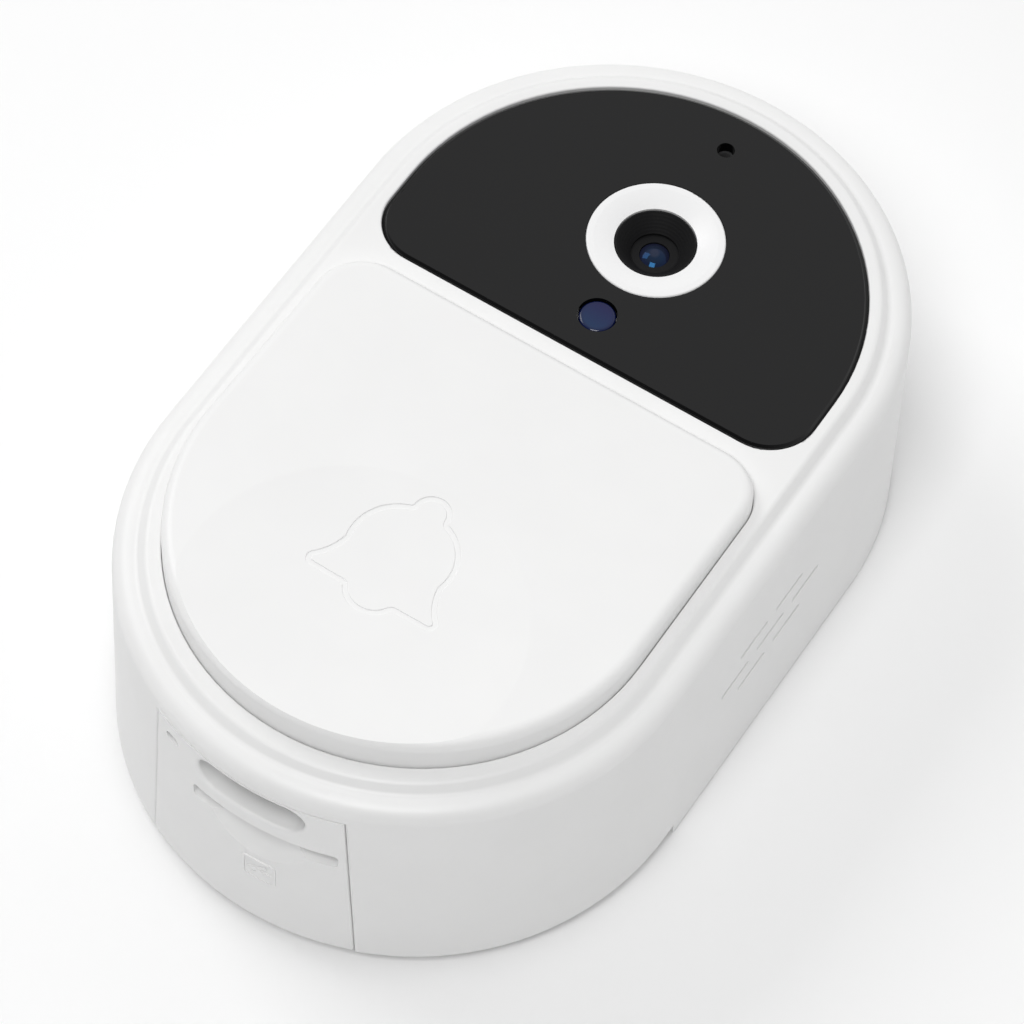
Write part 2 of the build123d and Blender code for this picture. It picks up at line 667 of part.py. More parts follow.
def drawer_seal():
    """Rubber seal round the neck of the drawer."""
    ring = block(-10.2, 10.2, -43.2, -42.75, 13.05, 21.9)
    return ring - block(-10.0, 10.0, -60, -40, 10, 21.5)


def battery_cell():
    can = rod_y(0, CELL_Z, CELL_R, CELL_Y, CELL_Y + CELL_LENGTH - 1.2)
    return can + rod_y(0, CELL_Z, 3.0, CELL_Y + CELL_LENGTH - 1.2, CELL_Y + CELL_LENGTH)


def cell_contacts():
    """Plates at both ends of the cell, and two pads for the bay's pins."""
    plates = [block(-5, 5, -42.6, -42.0, 8, 17), block(-4, 4, 7.0, 7.4, 9, 16.5)]
    pads = [block(x - 1.6, x + 1.6, 8.2, 8.5, CELL_Z - 2, CELL_Z + 2) for x in (-PIN_X, PIN_X)]
    return plates + pads


def charge_board():
    board = block(-10.0, 10.0, -43.7, -37.0, 22.1, 22.8)
    return board - block(-4.7, 4.7, -60, -37.7, 20, 30)


def usb_port():
    front, back = PORT_Y
    port = oblong_y(0, PORT_Z, 8.94, 3.16, front, back)
    port -= oblong_y(0, PORT_Z, 8.34, 2.56, front - 1, back - 1.0)
    return port + block(-3.3, 3.3, front + 0.8, back - 0.9, PORT_Z - 0.35, PORT_Z + 0.35)


def reset_switch():
    return block(-9.9, -7.4, -42.6, -40.6, 22.8, 24.6) - rod_y(RESET_X, PORT_Z, 0.55, -43, -41.6)


def reset_plunger():
    return rod_y(RESET_X, PORT_Z, 0.5, -43.6, -42.0)


# ================================================================ sound
def microphone():
    return block(-1.9, 1.9, MIC_Y - 1.4, MIC_Y + 1.4, BOARD_Z[1], 25.2)


def mic_boot():
    return tube_z(0, MIC_Y, 2.2, 0.8, 25.2, 28.1)


def light_sensor():
    return block(-1.1, 1.1, SENSOR_Y - 1.1, SENSOR_Y + 1.1, BOARD_Z[1], 25.1)


def speaker_frame():
    frame = rod_x(SPEAKER_Y, SPEAKER_Z, SPEAKER_R, 23.6, 26.4)
    frame -= rod_x(SPEAKER_Y, SPEAKER_Z, SPEAKER_R - 0.8, 24.2, 27)
    return frame - rod_x(SPEAKER_Y, SPEAKER_Z, 4.6, 20, 27)


def speaker_magnet():
    return rod_x(SPEAKER_Y, SPEAKER_Z, 5.4, 20.4, 23.6) + rod_x(SPEAKER_Y, SPEAKER_Z, 3.6, 23.6, 24.2)


def speaker_cone():
    front = [(26.2, 0), (25.9, 1.6), (25.0, 3.0), (25.9, 5.6), (25.9, 6.6)]
    back = [(25.7, 6.6), (25.7, 5.6), (24.8, 3.0), (25.7, 1.5), (26.0, 0)]
    section = make_face(Polyline(*front, *back, close=True))
    return Pos(0, SPEAKER_Y, SPEAKER_Z) * revolve(Plane.XZ * section, Axis.X, 360)


def speaker_foam():
    ring = rod_x(SPEAKER_Y, SPEAKER_Z, 7.4, 26.4, 27.1)
    return ring - rod_x(SPEAKER_Y, SPEAKER_Z, 6.7, 26, 28)


# ================================================================ wall bracket
def wall_bracket():
    plate = stadium_slab(BRACKET_R, 0, BRACKET_THICK)
    plate = chamfer(plate.faces().sort_by(Axis.Z)[0].edges(), 0.3)
    plate -= slab(RectangleRounded(22.4, 34.4, 4), -1, PAD_THICK)
    for y in (SCREW_Y, -SCREW_Y):
        plate -= rod_z(0, y, SCREW_HOLE_R, -1, 3)
        plate -= cone_z(0, y, SCREW_HOLE_R, SCREW_HOLE_R + 1.0, 0.4, BRACKET_THICK)
    for x in (HOOK_X, -HOOK_X):
        for y in HOOK_YS:
            plate += block(x - 1.3, x + 1.3, y - 0.8, y + 0.8, 1.0, 4.2)
            plate += block(x - 2.2, x + 2.2, y - 0.8, y + 0.8, 3.5, 4.3)
    return plate


def adhesive_pad():
    """Foam tape in the bracket's back, for walls that can't be drilled."""
    return slab(RectangleRounded(22, 34, 3.8), 0, PAD_THICK)


# ================================================================ write the parts
save("front_shell", front_shell())
save("rear_cover", rear_cover())
save("rear_gasket", rear_gasket())
save("case_screws", *case_screws())
save("lens_window", lens_window())
save("window_tape", window_tape())
save("lens_bezel", lens_bezel())
save("lens_barrel", lens_barrel())
save("lens_glass", *lens_glass())
save("lens_holder", lens_holder())
save("image_sensor", image_sensor())
save("camera_board", camera_board())
save("camera_screws", *camera_screws())
save("camera_flex", camera_flex())
save("sensor_lens", sensor_lens())
save("light_sensor", light_sensor())
save("microphone", microphone())
save("mic_boot", mic_boot())
save("main_board", main_board())
save("board_screws", *board_screws())
save("board_chips", *board_chips())
save("wifi_shield", wifi_shield())
save("ir_leds", *ir_leds())
save("antenna", antenna())
save("button_cap", button_cap())
save("button_seal", button_seal())
save("tact_switch", tact_switch())
save("tact_plunger", tact_plunger())
save("battery_bay", battery_bay())
save("bay_pins", *bay_pins())
save("pin_board", pin_board())
save("battery_drawer", battery_drawer())
save("drawer_seal", drawer_seal())
save("battery_cell", battery_cell())
save("cell_contacts", *cell_contacts())
save("charge_board", charge_board())
save("usb_port", usb_port())
save("reset_switch", reset_switch())
save("reset_plunger", reset_plunger())
save("speaker_frame", speaker_frame())
save("speaker_magnet", speaker_magnet())
save("speaker_cone", speaker_cone())
save("speaker_foam", speaker_foam())
save("wall_bracket", wall_bracket())
save("adhesive_pad", adhesive_pad())
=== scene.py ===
"""Video doorbell lying on its back: materials, small detail pieces, floor, light and camera."""

import json
import math

import bmesh
import bpy
from mathutils import Matrix, Vector


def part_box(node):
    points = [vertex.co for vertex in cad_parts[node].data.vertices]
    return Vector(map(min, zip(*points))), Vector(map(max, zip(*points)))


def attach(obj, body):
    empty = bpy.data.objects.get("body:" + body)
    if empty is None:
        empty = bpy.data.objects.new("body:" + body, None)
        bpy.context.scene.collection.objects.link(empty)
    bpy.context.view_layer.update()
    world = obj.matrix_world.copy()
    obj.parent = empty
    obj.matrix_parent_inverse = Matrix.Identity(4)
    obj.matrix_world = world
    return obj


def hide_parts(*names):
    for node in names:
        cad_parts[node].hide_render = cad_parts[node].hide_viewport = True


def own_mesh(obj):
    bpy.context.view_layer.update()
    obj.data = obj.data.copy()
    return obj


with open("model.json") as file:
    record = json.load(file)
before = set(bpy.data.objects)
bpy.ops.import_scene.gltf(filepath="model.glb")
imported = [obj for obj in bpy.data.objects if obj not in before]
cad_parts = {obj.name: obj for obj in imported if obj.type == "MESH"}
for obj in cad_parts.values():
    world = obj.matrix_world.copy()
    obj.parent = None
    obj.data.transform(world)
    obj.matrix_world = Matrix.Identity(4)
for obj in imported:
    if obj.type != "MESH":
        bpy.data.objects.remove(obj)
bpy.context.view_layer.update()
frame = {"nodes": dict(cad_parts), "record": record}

MM = 0.001
AXES = {"x": Vector((1, 0, 0)), "y": Vector((0, 1, 0)), "z": Vector((0, 0, 1))}
SMOOTH_ANGLE = math.radians(32)

# ---------------------------------------------------------------- camera
CAMERA_AZIMUTH = math.radians(29.83)
CAMERA_ELEVATION = math.radians(57.64)
CAMERA_ROLL = math.radians(3.46)
CAMERA_DISTANCE = 484.07 * MM
CAMERA_TARGET = Vector((-3.85, 6.17, 0.0)) * MM
LENS_MM = 163.72
FILM_MM = 36.0
NEAR_CLIP = 10 * MM

# ---------------------------------------------------------------- studio
SKY_AXIS = Vector((-0.03, 0.92, -0.38)).normalized()   # the studio is brightest this way
SKY_DARK, SKY_BRIGHT = 0.08, 1.05                      # strength away from it and along it
LAMP_SIZE = 0.45
LAMPS = {                                              # place in metres, power in watts
    "overhead": (Vector((0.1, -0.45, 0.95)), 5.4),
    "side": (Vector((-0.65, 0.1, 0.7)), 2.4),
}
FLOOR_WHITE = 0.93
FLOOR_SIZE = 6.0
FLOOR_DROP = 0.1 * MM          # keeps the floor clear of the bracket's back


def add_camera():
    """Long lens, looking down at the front from the lower right."""
    back = Vector((
        math.sin(CAMERA_AZIMUTH) * math.cos(CAMERA_ELEVATION),
        -math.cos(CAMERA_AZIMUTH) * math.cos(CAMERA_ELEVATION),
        math.sin(CAMERA_ELEVATION),
    ))
    right = AXES["z"].cross(back).normalized()
    up = back.cross(right)
    axis_x = math.cos(CAMERA_ROLL) * right + math.sin(CAMERA_ROLL) * up
    axis_y = math.cos(CAMERA_ROLL) * up - math.sin(CAMERA_ROLL) * right
    data = bpy.data.cameras.new("camera")
    data.lens = LENS_MM
    data.sensor_width = FILM_MM
    data.clip_start = NEAR_CLIP
    camera = bpy.data.objects.new("camera", data)
    place = CAMERA_TARGET + back * CAMERA_DISTANCE
    camera.matrix_world = Matrix((
        (axis_x.x, axis_y.x, back.x, place.x),
        (axis_x.y, axis_y.y, back.y, place.y),
        (axis_x.z, axis_y.z, back.z, place.z),
        (0, 0, 0, 1),
    ))
    bpy.context.collection.objects.link(camera)
    bpy.context.scene.camera = camera


def add_lamp(name):
    """Soft square lamp that points at the doorbell."""
    place, power = LAMPS[name]
    data = bpy.data.lights.new(name, "AREA")
    data.shape = "SQUARE"
    data.size = LAMP_SIZE
    data.energy = power
    light = bpy.data.objects.new(name, data)
    light.location = place
    light.rotation_euler = (-place).to_track_quat("-Z", "Y").to_euler()
    bpy.context.collection.objects.link(light)


def add_sky():
    """White studio that fades evenly from its bright side to its dark side."""
    world = bpy.data.worlds.new("studio")
    world.use_nodes = True
    nodes, links = world.node_tree.nodes, world.node_tree.links
    direction = nodes.new("ShaderNodeTexCoord").outputs["Generated"]
    along = nodes.new("ShaderNodeVectorMath")
    along.operation = "DOT_PRODUCT"
    along.inputs[1].default_value = SKY_AXIS
    links.new(direction, along.inputs[0])
    fade = nodes.new("ShaderNodeMapRange")
    fade.inputs["From Min"].default_value = -1.0
    fade.inputs["To Min"].default_value = SKY_DARK
    fade.inputs["To Max"].default_value = SKY_BRIGHT
    links.new(along.outputs["Value"], fade.inputs["Value"])
    links.new(fade.outputs["Result"], nodes["Background"].inputs["Strength"])
    nodes["Background"].inputs["Color"].default_value = (1, 1, 1, 1)
    bpy.context.scene.world = world


def add_floor():
    bpy.ops.mesh.primitive_plane_add(size=FLOOR_SIZE, location=(0, 0, -FLOOR_DROP))
    floor = bpy.context.object
    floor.name = "floor"
    finish = Finish("floor_paper", (FLOOR_WHITE,) * 3, 0.85)
    finish.relief(finish.texture("Noise", 0.8), 0.01)
    floor.data.materials.append(finish.material)


# ---------------------------------------------------------------- building materials
class Finish:
    """One node material on the Principled shader. Sizes and depths are in millimetres."""

    def __init__(self, name, color, roughness, **sockets):
        self.material = bpy.data.materials.new(name)
        self.material.use_nodes = True
        self.nodes = self.material.node_tree.nodes
        self.links = self.material.node_tree.links
        self.shader = self.nodes["Principled BSDF"]
        self.color = (*color, 1)
        self.shader.inputs["Base Color"].default_value = self.color
        self.shader.inputs["Roughness"].default_value = roughness
        for socket, value in sockets.items():
            self.shader.inputs[socket.replace("_", " ")].default_value = value
        self.place = self.nodes.new("ShaderNodeTexCoord").outputs["Object"]

    def feed(self, value, socket):
        """Links a socket to another, or sets a plain value on it."""
        if isinstance(value, bpy.types.NodeSocket):
            self.links.new(value, socket)
        else:
            socket.default_value = value

    def texture(self, kind, size, stretch=(1, 1, 1), output=0, detail=None, **settings):
        """A texture with features about size across, longer along an axis by its stretch."""
        mapping = self.nodes.new("ShaderNodeMapping")
        mapping.inputs["Scale"].default_value = [1 / (size * MM * s) for s in stretch]
        self.links.new(self.place, mapping.inputs["Vector"])
        node = self.nodes.new("ShaderNodeTex" + kind)
        for setting, value in settings.items():
            setattr(node, setting, value)
        node.inputs["Scale"].default_value = 1.0
        if detail is not None:
            node.inputs["Detail"].default_value = detail
        self.links.new(mapping.outputs["Vector"], node.inputs["Vector"])
        return node.outputs[output]

    def ramp(self, value, low, high, start=0.0, end=1.0):
        """Carries low to high over to start to end, and holds it there outside."""
        node = self.nodes.new("ShaderNodeMapRange")
        for name, setting in (("From Min", low), ("From Max", high), ("To Min", start), ("To Max", end)):
            node.inputs[name].default_value = setting
        self.links.new(value, node.inputs["Value"])
        return node.outputs["Result"]

    def math(self, operation, first, second):
        node = self.nodes.new("ShaderNodeMath")
        node.operation = operation
        self.feed(first, node.inputs[0])
        self.feed(second, node.inputs[1])
        return node.outputs[0]

    def ripples(self, value, rate):
        """Even waves over a value, from -1 to 1."""
        return self.math("SINE", self.math("MULTIPLY", value, rate), 0.0)

    def along(self, axis):
        """Distance along an axis of the frame, in metres."""
        node = self.nodes.new("ShaderNodeSeparateXYZ")
        self.links.new(self.place, node.inputs[0])
        return node.outputs[axis.upper()]

    def from_line(self, axis, x=0.0, y=0.0, z=0.0):
        """Distance from a line along an axis, in millimetres."""
        offset = self.nodes.new("ShaderNodeVectorMath")
        offset.operation = "SUBTRACT"
        offset.inputs[1].default_value = (x, y, z)
        self.links.new(self.place, offset.inputs[0])
        flat = self.nodes.new("ShaderNodeVectorMath")
        flat.operation = "MULTIPLY"
        flat.inputs[1].default_value = (Vector((1, 1, 1)) - AXES[axis]) / MM
        self.links.new(offset.outputs[0], flat.inputs[0])
        length = self.nodes.new("ShaderNodeVectorMath")
        length.operation = "LENGTH"
        self.links.new(flat.outputs[0], length.inputs[0])
        return length.outputs["Value"]

    def paint(self, mask, color):
        """Lays another colour over the present one where the mask is."""
        node = self.nodes.new("ShaderNodeMix")
        node.data_type = "RGBA"
        sockets = [s for s in node.inputs if s.type == "RGBA"]
        self.feed(mask, node.inputs[0])
        self.feed(self.color, sockets[0])
        self.feed((*color, 1), sockets[1])
        self.color = next(s for s in node.outputs if s.type == "RGBA")
        self.links.new(self.color, self.shader.inputs["Base Color"])

    def vary(self, socket, mask, low, high):
        """Lets the mask carry one of the shader's values from low to high."""
        self.links.new(self.ramp(mask, 0.0, 1.0, low, high), self.shader.inputs[socket])

    def relief(self, height, depth):
        """Bump on top of what is there already."""
        bump = self.nodes.new("ShaderNodeBump")
        bump.inputs["Distance"].default_value = depth * MM
        self.links.new(height, bump.inputs["Height"])
        if self.shader.inputs["Normal"].is_linked:
            self.links.new(self.shader.inputs["Normal"].links[0].from_socket, bump.inputs["Normal"])
        self.links.new(bump.outputs["Normal"], self.shader.inputs["Normal"])


# ---------------------------------------------------------------- plastics
def moulded(name, color, smoothest, roughest, grain, grain_depth):
    """Moulded plastic: fine spark-eroded grain, soft waves and a slightly uneven gloss."""
    finish = Finish(name, color, roughest, IOR=1.5)
    drift = finish.texture("Noise", 9.0, detail=3.0)
    finish.paint(finish.ramp(drift, 0.35, 0.65), [0.985 * c for c in color])
    finish.vary("Roughness", finish.texture("Noise", 1.6, detail=5.0), smoothest, roughest)
    finish.relief(finish.texture("Noise", 6.5, detail=1.0), 0.006)
    finish.relief(finish.texture("Noise", grain, detail=2.0), grain_depth)
    return finish


def make_shell_white():
    finish = moulded("shell_white", (0.835, 0.835, 0.832), smoothest=0.36, roughest=0.5,
                     grain=0.16, grain_depth=0.0028)
    return finish.material


def make_button_white():
    finish = moulded("button_white", (0.845, 0.845, 0.842), smoothest=0.32, roughest=0.44,
                     grain=0.13, grain_depth=0.002)
    return finish.material


def make_bracket_white():
    finish = moulded("bracket_white", (0.8, 0.8, 0.79), smoothest=0.4, roughest=0.55,
                     grain=0.2, grain_depth=0.005)
    flow = finish.texture("Wave", 14.0, detail=2.0, bands_direction="Y")
    finish.paint(finish.ramp(flow, 0.0, 1.0, 0.0, 0.25), (0.76, 0.76, 0.745))
    return finish.material


def make_bezel_white():
    """Smooth ring with very fine turning marks."""
    finish = Finish("bezel_white", (0.86, 0.86, 0.862), 0.3, IOR=1.5)
    low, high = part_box("lens_bezel")
    middle = (low + high) / 2
    turning_marks = finish.ripples(finish.from_line("z", middle.x, middle.y), 40.0)
    finish.relief(finish.ramp(turning_marks, -1.0, 1.0), 0.0006)
    finish.vary("Roughness", finish.texture("Noise", 0.9, detail=4.0), 0.26, 0.38)
    return finish.material


def make_window_black():
    """Polished black acrylic with the faintest smears and hairlines."""
    finish = Finish("window_black", (0.003, 0.003, 0.0033), 0.05, IOR=1.46)
    smear = finish.texture("Noise", 11.0, stretch=(2.2, 1, 1), detail=6.0)
    finish.vary("Roughness", finish.ramp(smear, 0.45, 0.75), 0.045, 0.1)
    hairline = finish.texture("Wave", 2.7, detail=8.0, bands_direction="DIAGONAL")
    finish.relief(finish.ramp(hairline, 0.985, 1.0), 0.0002)
    finish.relief(finish.texture("Noise", 12.0, detail=0.0), 0.0015)
    return finish.material


def make_optic_black():
    """Matt black moulding, with the rings that keep stray light out of the lens."""
    finish = Finish("optic_black", (0.0045, 0.0045, 0.005), 0.6, IOR=1.3)
    rings = finish.texture("Wave", 0.9, bands_direction="Z")
    finish.relief(rings, 0.006)
    finish.relief(finish.texture("Noise", 0.12, detail=3.0), 0.006)
    finish.vary("Roughness", finish.texture("Noise", 0.5, detail=3.0), 0.52, 0.72)
    return finish.material


def make_inner_grey():
    finish = moulded("inner_grey", (0.23, 0.23, 0.235), smoothest=0.42, roughest=0.6,
                     grain=0.22, grain_depth=0.006)
    knit = finish.texture("Wave", 17.0, detail=4.0, bands_direction="X")
    finish.paint(finish.ramp(knit, 0.93, 1.0, 0.0, 0.5), (0.3, 0.3, 0.305))
    return finish.material


def make_sensor_blue():
    """Deep violet-blue filter, painted lighter and teal towards its -Y side as a painted lit side, with
    painted shade round its edge.
    """
    finish = Finish("sensor_blue", (0.008, 0.006, 0.062), 0.12, IOR=1.48)
    low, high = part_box("sensor_lens")
    middle = (low + high) / 2
    # painted light: the filter's -Y side is painted lighter and teal
    painted_lit_side = finish.ramp(finish.along("y"), high.y, low.y)
    finish.paint(painted_lit_side, (0.003, 0.026, 0.082))
    # painted shade: a darker ring is painted round the filter's edge
    rim = finish.ramp(finish.from_line("z", middle.x, middle.y), 1.35, 1.8)
    finish.paint(rim, (0.004, 0.008, 0.05))
    finish.relief(finish.texture("Noise", 1.4, detail=2.0), 0.004)
    return finish.material


def make_led_clear():
    finish = Finish("led_clear", (0.9, 0.92, 0.95), 0.08, IOR=1.54, Transmission_Weight=0.85)
    finish.relief(finish.texture("Noise", 0.6, detail=2.0), 0.004)
    finish.vary("Roughness", finish.texture("Noise", 0.4, detail=2.0), 0.05, 0.16)
    return finish.material


def make_chip_black():
    """Moulded epoxy with its coarse filler."""
    finish = Finish("chip_black", (0.018, 0.018, 0.019), 0.6)
    filler = finish.texture("Voronoi", 0.09)
    finish.paint(finish.ramp(filler, 0.1, 0.0, 0.0, 0.5), (0.05, 0.05, 0.052))
    finish.relief(finish.texture("Noise", 0.08, detail=4.0), 0.01)
    finish.vary("Roughness", finish.texture("Noise", 0.3, detail=3.0), 0.5, 0.7)
    return finish.material


def make_cone_film():
    """Formed film, with ripples round the middle of the speaker."""
    finish = Finish("cone_film", (0.03, 0.03, 0.034), 0.32, IOR=1.55, Coat_Weight=0.2)
    low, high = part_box("speaker_cone")
    middle = (low + high) / 2
    finish.relief(finish.ripples(finish.from_line("x", 0.0, middle.y, middle.z), 9.0), 0.02)
    finish.vary("Roughness", finish.texture("Noise", 0.5, detail=3.0), 0.25, 0.4)
    return finish.material


# ---------------------------------------------------------------- rubber, foam and film
def make_seal_rubber():
    finish = Finish("seal_rubber", (0.035, 0.035, 0.036), 0.62, Sheen_Weight=0.15)
    bloom = finish.texture("Noise", 2.4, detail=5.0)
    finish.paint(finish.ramp(bloom, 0.5, 0.8, 0.0, 0.5), (0.08, 0.08, 0.08))
    finish.relief(finish.texture("Noise", 0.15, detail=3.0), 0.008)
    return finish.material


def make_seal_silicone():
    """Milky silicone that lets some light through."""
    finish = Finish("seal_silicone", (0.72, 0.72, 0.7), 0.45, IOR=1.41, Transmission_Weight=0.25)
    finish.paint(finish.ramp(finish.texture("Noise", 1.8, detail=3.0), 0.4, 0.7), (0.66, 0.66, 0.645))
    finish.vary("Roughness", finish.texture("Noise", 0.7, detail=3.0), 0.38, 0.58)
    finish.relief(finish.texture("Noise", 0.2, detail=2.0), 0.005)
    return finish.material


def make_tape_black():
    """Closed-cell foam tape, with its cut cells."""
    finish = Finish("tape_black", (0.03, 0.03, 0.031), 0.85, Sheen_Weight=0.2)
    cells = finish.texture("Voronoi", 0.22)
    finish.paint(finish.ramp(cells, 0.25, 0.55), (0.055, 0.055, 0.056))
    finish.relief(finish.ramp(cells, 0.0, 0.6), 0.05)
    finish.relief(finish.texture("Noise", 3.0, detail=3.0), 0.05)
    return finish.material


def make_cell_wrap():
    """Blue shrink sleeve, drawn tight with fine wrinkles along the cell."""
    finish = Finish("cell_wrap", (0.012, 0.09, 0.33), 0.28, IOR=1.53, Coat_Weight=0.15)
    wrinkles = finish.texture("Noise", 0.7, stretch=(1, 9, 1), detail=4.0)
    finish.relief(finish.ramp(wrinkles, 0.55, 0.8), 0.03)
    finish.relief(finish.texture("Noise", 5.0, stretch=(1, 3, 1), detail=2.0), 0.06)
    finish.paint(finish.ramp(wrinkles, 0.6, 0.85, 0.0, 0.3), (0.05, 0.17, 0.45))
    finish.vary("Roughness", finish.texture("Noise", 2.2, detail=4.0), 0.2, 0.38)
    return finish.material


def make_flex_amber():
    """Amber polyimide film over copper conductors."""
    finish = Finish("flex_amber", (0.42, 0.15, 0.02), 0.3, IOR=1.6, Coat_Weight=0.4)
    conductor = finish.texture("Wave", 1.6, bands_direction="X")
    finish.paint(finish.ramp(conductor, 0.5, 0.62), (0.55, 0.24, 0.06))
    finish.relief(finish.ramp(conductor, 0.5, 0.62), 0.02)
    finish.vary("Roughness", finish.texture("Noise", 1.2, detail=3.0), 0.24, 0.42)
    return finish.material


# ---------------------------------------------------------------- boards and metals
TRACK_PITCH = 1.1


def make_pcb_green(name="pcb_green", across="x", up="y"):
    """Solder mask over runs of copper tracks, with plated rings whose black centres are painted shade for
    the holes.
    """
    finish = Finish(name, (0.012, 0.075, 0.03), 0.3, IOR=1.5, Coat_Weight=0.2)
    runs_up = finish.texture("Wave", TRACK_PITCH, bands_direction=across.upper())
    runs_across = finish.texture("Wave", TRACK_PITCH, bands_direction=up.upper())
    patches = finish.ramp(finish.texture("Voronoi", 4.2, output=1, distance="CHEBYCHEV"), 0.49, 0.51)
    both = finish.math("ADD", finish.math("MULTIPLY", runs_up, patches),
                       finish.math("MULTIPLY", runs_across, finish.math("SUBTRACT", 1.0, patches)))
    tracks = finish.ramp(both, 0.62, 0.72)
    finish.paint(tracks, (0.025, 0.14, 0.05))
    finish.relief(tracks, 0.03)
    plating_and_hole_shade = finish.texture("Voronoi", 1.9)
    plating = finish.ramp(plating_and_hole_shade, 0.16, 0.14)
    finish.paint(plating, (0.75, 0.55, 0.2))
    # painted shade: the black centres stand for the shade inside the holes
    finish.paint(finish.ramp(plating_and_hole_shade, 0.08, 0.06), (0.01, 0.01, 0.01))
    finish.vary("Metallic", plating, 0.0, 1.0)
    finish.vary("Roughness", finish.texture("Noise", 0.8, detail=3.0), 0.24, 0.42)
    return finish.material


METALS = {      # colour, smoothest, roughest, how far its marks are drawn out, their depth
    "tin_metal": ((0.62, 0.61, 0.59), 0.2, 0.42, (14, 1, 1), 0.004),
    "gold_contact": ((0.86, 0.6, 0.24), 0.14, 0.34, (1, 10, 1), 0.003),
    "screw_steel": ((0.56, 0.56, 0.57), 0.2, 0.45, (1, 1, 4), 0.005),
    "magnet_metal": ((0.64, 0.62, 0.58), 0.1, 0.26, (1, 1, 1), 0.002),
    "switch_metal": ((0.5, 0.5, 0.51), 0.26, 0.48, (6, 1, 1), 0.004),
    "can_metal": ((0.58, 0.57, 0.55), 0.16, 0.34, (1, 6, 1), 0.004),
}


def make_metal(name):
    """Metal with rolling or drawing marks along its length, and small stains."""
    color, smoothest, roughest, stretch, depth = METALS[name]
    finish = Finish(name, color, smoothest, Metallic=1.0)
    marks = finish.texture("Noise", 0.08, stretch=stretch, detail=3.0)
    finish.relief(marks, depth)
    stains = finish.texture("Noise", 1.7, detail=6.0)
    finish.paint(finish.ramp(stains, 0.5, 0.8, 0.0, 0.6), [0.8 * c for c in color])
    finish.vary("Roughness", stains, smoothest, roughest)
    return finish.material


def make_lens_glass():
    """Dark coated glass with a bluish thin film, and paler rings painted round its middle as painted
    reflections of the inner lens.
    """
    finish = Finish("lens_glass", (0.012, 0.014, 0.034), 0.05, IOR=1.62,
                    Thin_Film_Thickness=130.0, Thin_Film_IOR=1.38)
    low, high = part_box("lens_glass")
    middle = (low + high) / 2
    radius = finish.from_line("z", middle.x, middle.y)
    # painted reflection: paler rings towards the middle stand for reflections in the inner lens elements
    finish.paint(finish.ramp(radius, 1.35, 0.9), (0.014, 0.02, 0.038))
    finish.paint(finish.ramp(radius, 0.6, 0.35), (0.03, 0.032, 0.048))
    finish.relief(finish.texture("Noise", 0.8, detail=1.0), 0.0004)
    return finish.material


def make_ceramic_tan():
    """Fired ceramic of the capacitors."""
    finish = Finish("ceramic_tan", (0.36, 0.24, 0.14), 0.4)
    finish.paint(finish.ramp(finish.texture("Noise", 0.2, detail=3.0), 0.4, 0.7), (0.3, 0.19, 0.1))
    finish.relief(finish.texture("Noise", 0.1, detail=3.0), 0.006)
    return finish.material


LOOKS = {
    "shell_white": make_shell_white(),
    "button_white": make_button_white(),
    "window_black": make_window_black(),
    "bezel_white": make_bezel_white(),
    "optic_black": make_optic_black(),
    "lens_glass": make_lens_glass(),
    "sensor_blue": make_sensor_blue(),
    "pcb_green": make_pcb_green(),
    "chip_black": make_chip_black(),
    "seal_rubber": make_seal_rubber(),
    "seal_silicone": make_seal_silicone(),
    "cell_wrap": make_cell_wrap(),
    "led_clear": make_led_clear(),
    "tape_black": make_tape_black(),
    "inner_grey": make_inner_grey(),
    "cone_film": make_cone_film(),
    "bracket_white": make_bracket_white(),
    "flex_amber": make_flex_amber(),
    "ceramic_tan": make_ceramic_tan(),
}
LOOKS.update({name: make_metal(name) for name in METALS})
UPRIGHT_PCB = make_pcb_green("pcb_upright", "x", "z")      # for a board that stands across the casing


def dress_nodes():
    """Gives every CAD node the material of its slot in the record."""
    slots = {part["node"]: part["material_slot"] for part in frame["record"]["subparts"]}
    for name, node in frame["nodes"].items():
        node.data.shade_smooth()
        node.data.set_sharp_from_angle(angle=SMOOTH_ANGLE)
        node.data.materials.clear()
        node.data.materials.append(UPRIGHT_PCB if name == "pin_board" else LOOKS[slots[name]])


# ---------------------------------------------------------------- building pieces
ROUND_STEPS = 128


def mesh_from(builder, name):
    """Mesh of what the builder holds, which is then let go."""
    mesh = bpy.data.meshes.new(name)
    builder.to_mesh(mesh)
    builder.free()
    return mesh


def add_piece(name, mesh, body, looks):
    """Puts a finished mesh in the scene and lets it ride on a body."""
    piece = bpy.data.objects.new(name, mesh)
    for look in looks:
        mesh.materials.append(LOOKS[look])
    mesh.shade_smooth()
    mesh.set_sharp_from_angle(angle=SMOOTH_ANGLE)
    bpy.context.collection.objects.link(piece)
    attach(piece, body)
    return piece


def ring_at(builder, radius, distance, origin, turn):
    """Corners round the axis at one point of a lathe's profile, or one corner on the axis."""
    count = ROUND_STEPS if radius > 0 else 1
    ring = []
    for k in range(count):
        angle = 2 * math.pi * k / count
        point = Vector((radius * math.cos(angle), radius * math.sin(angle), distance)) * MM
        ring.append(builder.verts.new(origin + turn @ point))
    return ring


def lathe(name, profile, origin, axis, look_of_run):
    """Turned mesh. The profile has (radius, distance along the axis) points in millimetres."""
    builder = bmesh.new()
    turn = AXES["z"].rotation_difference(AXES[axis]).to_matrix()
    rings = [ring_at(builder, radius, distance, origin, turn) for radius, distance in profile]
    for run, (first, second) in enumerate(zip(rings, rings[1:])):
        for k in range(ROUND_STEPS):
            corners = [first[k % len(first)], first[(k + 1) % len(first)]]
            corners += [second[(k + 1) % len(second)], second[k % len(second)]]
            face = builder.faces.new(list(dict.fromkeys(corners)))
            face.material_index = look_of_run(run)
    bmesh.ops.recalc_face_normals(builder, faces=builder.faces)
    return mesh_from(builder, name)


